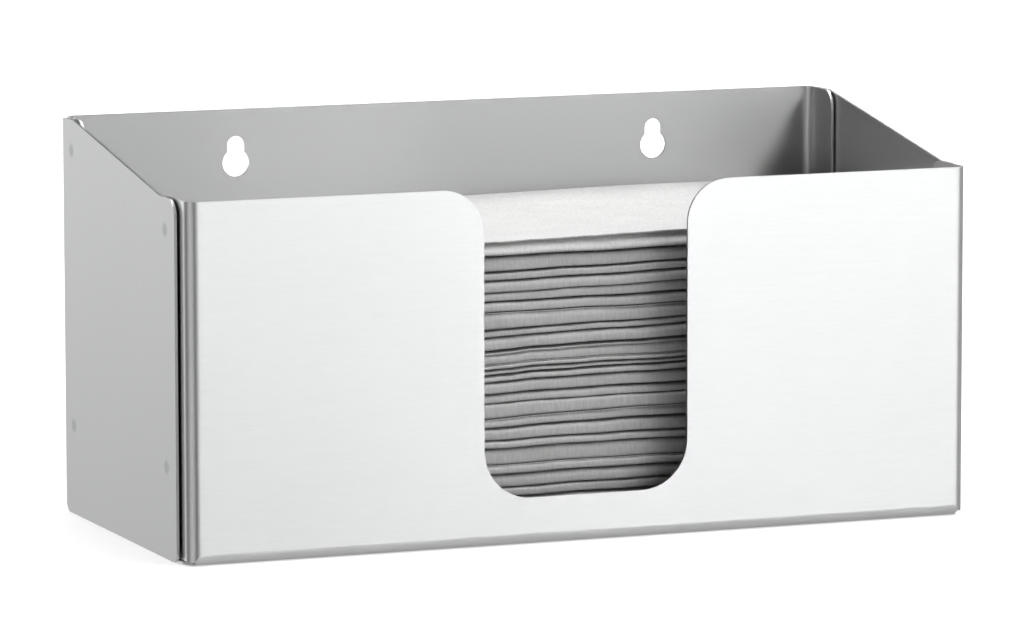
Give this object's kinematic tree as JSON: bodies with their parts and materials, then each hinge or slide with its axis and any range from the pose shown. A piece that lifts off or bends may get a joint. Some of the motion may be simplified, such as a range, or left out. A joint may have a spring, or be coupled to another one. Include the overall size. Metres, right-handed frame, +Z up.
{
  "type": "paper towel dispenser",
  "caption": "Open-top wall box of folded brushed sheet steel for folded paper towels, with a U-shaped window in front, keyholes in the back and a stack of towels inside.",
  "frame": {"origin": "middle of the footprint, on the underside of the box", "axes": "+X to the right seen from the front, +Y from the front face to the wall, +Z up"},
  "size_m": [0.29, 0.1324, 0.1395],
  "materials": {
    "steel": "satin, brushed along the width of the front",
    "paper": "matte, finely embossed"
  },
  "bodies": {
    "box": {"folded_wrap": "steel", "left_side_panel": "steel", "right_side_panel": "steel"},
    "towel_stack": {"towel_02": "paper", "towel_03": "paper", "towel_04": "paper", "towel_05": "paper", "towel_06": "paper", "towel_07": "paper", "towel_08": "paper", "towel_09": "paper", "towel_10": "paper", "towel_11": "paper", "towel_12": "paper", "towel_13": "paper", "towel_14": "paper", "towel_15": "paper", "towel_16": "paper", "towel_17": "paper", "towel_18": "paper", "towel_19": "paper", "towel_20": "paper", "towel_21": "paper", "towel_22": "paper", "towel_23": "paper", "towel_24": "paper", "towel_25": "paper", "towel_26": "paper", "towel_27": "paper", "towel_28": "paper"},
    "top_towel": {"towel_01": "paper"}
  },
  "joints": [
    {"name": "stack_lift", "type": "slide", "parent": "box", "child": "towel_stack", "axis": [0, 0, 1], "range_m": [0, 0.14]},
    {"name": "top_towel_draw", "type": "slide", "parent": "towel_stack", "child": "top_towel", "axis": [0, 0, 1], "range_m": [0, 0.06]}
  ]
}
